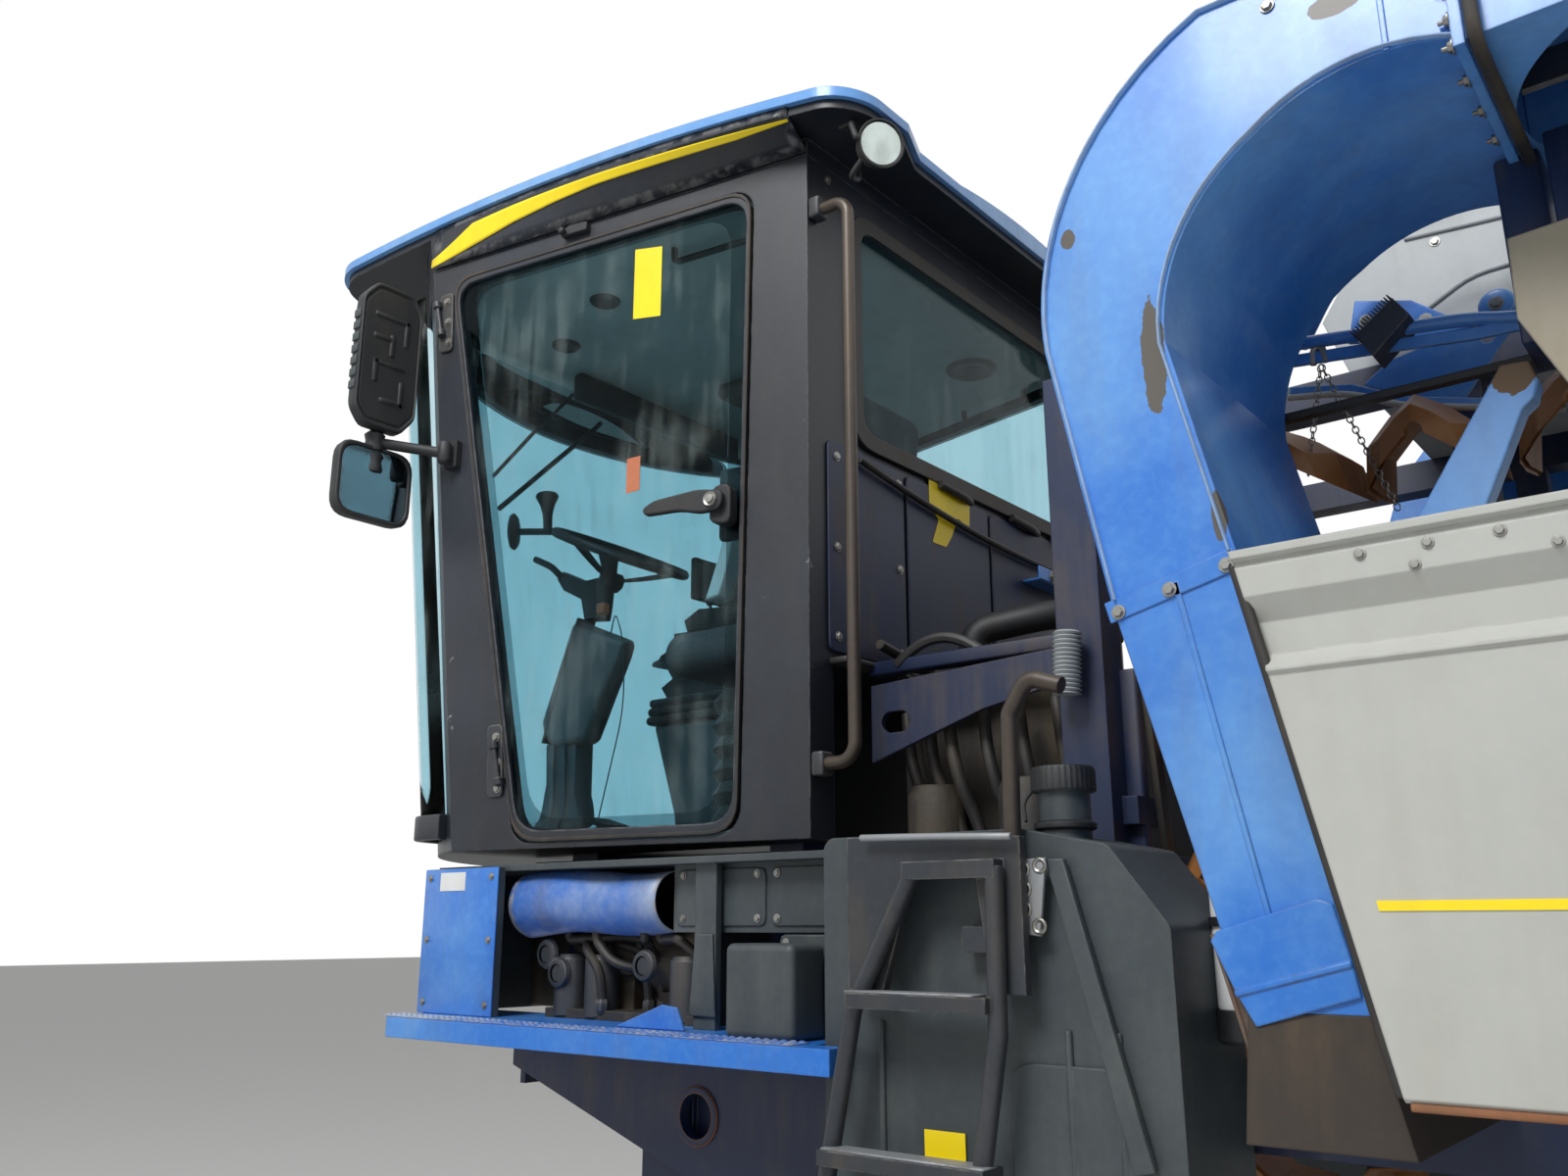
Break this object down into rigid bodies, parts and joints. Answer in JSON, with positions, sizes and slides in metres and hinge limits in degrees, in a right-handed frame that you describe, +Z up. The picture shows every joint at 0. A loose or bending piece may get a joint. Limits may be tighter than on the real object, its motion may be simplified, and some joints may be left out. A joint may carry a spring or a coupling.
{
  "type": "grape harvester",
  "caption": "Over-the-row grape harvester with a raised glazed cab, basket loops, side hoppers that tip back and arched air ducts over them.",
  "frame": {"origin": "on the ground in the middle of the machine's length and width", "axes": "+X forward, +Y to the machine's left, +Z up"},
  "size_m": [5.7599, 2.576, 3.61],
  "materials": {
    "frame_blue": "satin",
    "body_blue": "gloss",
    "cab_black": "worn satin",
    "roof_blue": "gloss",
    "cab_glass": "tinted",
    "seat_fabric": "woven",
    "cab_plastic": "grained",
    "grey_plastic": "moulded",
    "dark_steel": "worn",
    "hood_grey": "moulded",
    "hopper_paint": "worn satin",
    "engine_iron": "painted",
    "spout_rubber": "matt",
    "basket_plastic": "moulded",
    "rod_plastic": "smooth",
    "tyre": "matt",
    "rim_paint": "satin",
    "rod_chrome": "polished",
    "moving_steel": "painted"
  },
  "bodies": {
    "frame": {"arch_duct_left": "body_blue", "arch_duct_right": "body_blue", "basket_loop_left": "basket_plastic", "basket_loop_right": "basket_plastic", "cab_arches": "frame_blue", "cab_controls": "cab_plastic", "cab_fascia": "cab_black", "cab_frame": "cab_black", "cab_glazing": "cab_glass", "cab_roof": "roof_blue", "chassis_rails": "frame_blue", "control_box": "grey_plastic", "cooler": "hood_grey", "curled_cover": "body_blue", "duct_spouts": "spout_rubber", "engine_block": "engine_iron", "exhaust": "engine_iron", "fan_housings": "body_blue", "front_legs": "frame_blue", "fuel_tanks": "grey_plastic", "handrails": "dark_steel", "hydraulic_bay": "dark_steel", "ladder": "dark_steel", "lower_panels": "body_blue", "main_arches": "frame_blue", "mirrors": "cab_plastic", "picking_frame": "frame_blue", "picking_rods": "rod_plastic", "platforms": "body_blue", "rear_legs": "frame_blue", "seat": "seat_fabric", "top_hood": "hood_grey", "upper_conveyors": "dark_steel", "work_lamps": "cab_plastic"},
    "door": {"door_frame": "cab_black", "door_glass": "cab_glass"},
    "knuckle_left": {"knuckle_left": "frame_blue"},
    "wheel_front_left": {"tyre_front_left": "tyre", "rim_front_left": "rim_paint"},
    "wheel_rear_left": {"tyre_rear_left": "tyre", "rim_rear_left": "rim_paint"},
    "hopper_left": {"hopper_left": "hopper_paint"},
    "barrel_left": {"cylinder_barrel_left": "moving_steel"},
    "rod_left": {"cylinder_rod_left": "rod_chrome"},
    "fan_left": {"fan_rotor_left": "moving_steel"},
    "knuckle_right": {"knuckle_right": "frame_blue"},
    "wheel_front_right": {"tyre_front_right": "tyre", "rim_front_right": "rim_paint"},
    "wheel_rear_right": {"tyre_rear_right": "tyre", "rim_rear_right": "rim_paint"},
    "hopper_right": {"hopper_right": "hopper_paint"},
    "barrel_right": {"cylinder_barrel_right": "moving_steel"},
    "rod_right": {"cylinder_rod_right": "rod_chrome"},
    "fan_right": {"fan_rotor_right": "moving_steel"}
  },
  "joints": [
    {"name": "steer_left", "type": "hinge", "parent": "frame", "child": "knuckle_left", "pos_m": [1.4, 0.76, 0.9], "axis": [0, 0, 1], "range_deg": [-60, 60]},
    {"name": "roll_front_left", "type": "hinge", "parent": "knuckle_left", "child": "wheel_front_left", "pos_m": [1.4, 1, 0.42], "axis": [0, 1, 0], "continuous": true},
    {"name": "roll_rear_left", "type": "hinge", "parent": "frame", "child": "wheel_rear_left", "pos_m": [-1.6, 1.01, 0.63], "axis": [0, 1, 0], "continuous": true},
    {"name": "tip_hopper_left", "type": "hinge", "parent": "frame", "child": "hopper_left", "pos_m": [-2.62, 0.99, 1.4], "axis": [0, -1, 0], "range_deg": [0, 52]},
    {"name": "lean_cylinder_left", "type": "hinge", "parent": "frame", "child": "barrel_left", "pos_m": [-2.57, 0.96, 0.9], "axis": [0, -1, 0], "range_deg": [0, 18.1]},
    {"name": "extend_rod_left", "type": "slide", "parent": "barrel_left", "child": "rod_left", "axis": [0.6, 0, 0.8], "range_m": [0, 0.2556]},
    {"name": "spin_fan_left", "type": "hinge", "parent": "frame", "child": "fan_left", "pos_m": [-0.6, 0.93, 2.8], "axis": [0, 0, 1], "continuous": true},
    {"name": "steer_right", "type": "hinge", "parent": "frame", "child": "knuckle_right", "pos_m": [1.4, -0.76, 0.9], "axis": [0, 0, 1], "range_deg": [-60, 60]},
    {"name": "roll_front_right", "type": "hinge", "parent": "knuckle_right", "child": "wheel_front_right", "pos_m": [1.4, -1, 0.42], "axis": [0, 1, 0], "continuous": true},
    {"name": "roll_rear_right", "type": "hinge", "parent": "frame", "child": "wheel_rear_right", "pos_m": [-1.6, -1.01, 0.63], "axis": [0, 1, 0], "continuous": true},
    {"name": "tip_hopper_right", "type": "hinge", "parent": "frame", "child": "hopper_right", "pos_m": [-2.62, -0.99, 1.4], "axis": [0, -1, 0], "range_deg": [0, 52]},
    {"name": "lean_cylinder_right", "type": "hinge", "parent": "frame", "child": "barrel_right", "pos_m": [-2.57, -0.96, 0.9], "axis": [0, -1, 0], "range_deg": [0, 18.1]},
    {"name": "extend_rod_right", "type": "slide", "parent": "barrel_right", "child": "rod_right", "axis": [0.6, 0, 0.8], "range_m": [0, 0.2556]},
    {"name": "spin_fan_right", "type": "hinge", "parent": "frame", "child": "fan_right", "pos_m": [-0.6, -0.93, 2.8], "axis": [0, 0, 1], "continuous": true},
    {"name": "door_hinge", "type": "hinge", "parent": "frame", "child": "door", "pos_m": [2.00518, 0.95901, 2.5685], "axis": [-0.2263, -0.044, -0.9731], "range_deg": [0, 75]}
  ],
  "couplings": [
    {"joint": "lean_cylinder_left", "follows": "tip_hopper_left", "ratio": 0.34587},
    {"joint": "extend_rod_left", "follows": "tip_hopper_left", "m_per_rad": 0.28081},
    {"joint": "lean_cylinder_right", "follows": "tip_hopper_right", "ratio": 0.34587},
    {"joint": "extend_rod_right", "follows": "tip_hopper_right", "m_per_rad": 0.28081},
    {"joint": "steer_right", "follows": "steer_left", "ratio": 1}
  ]
}
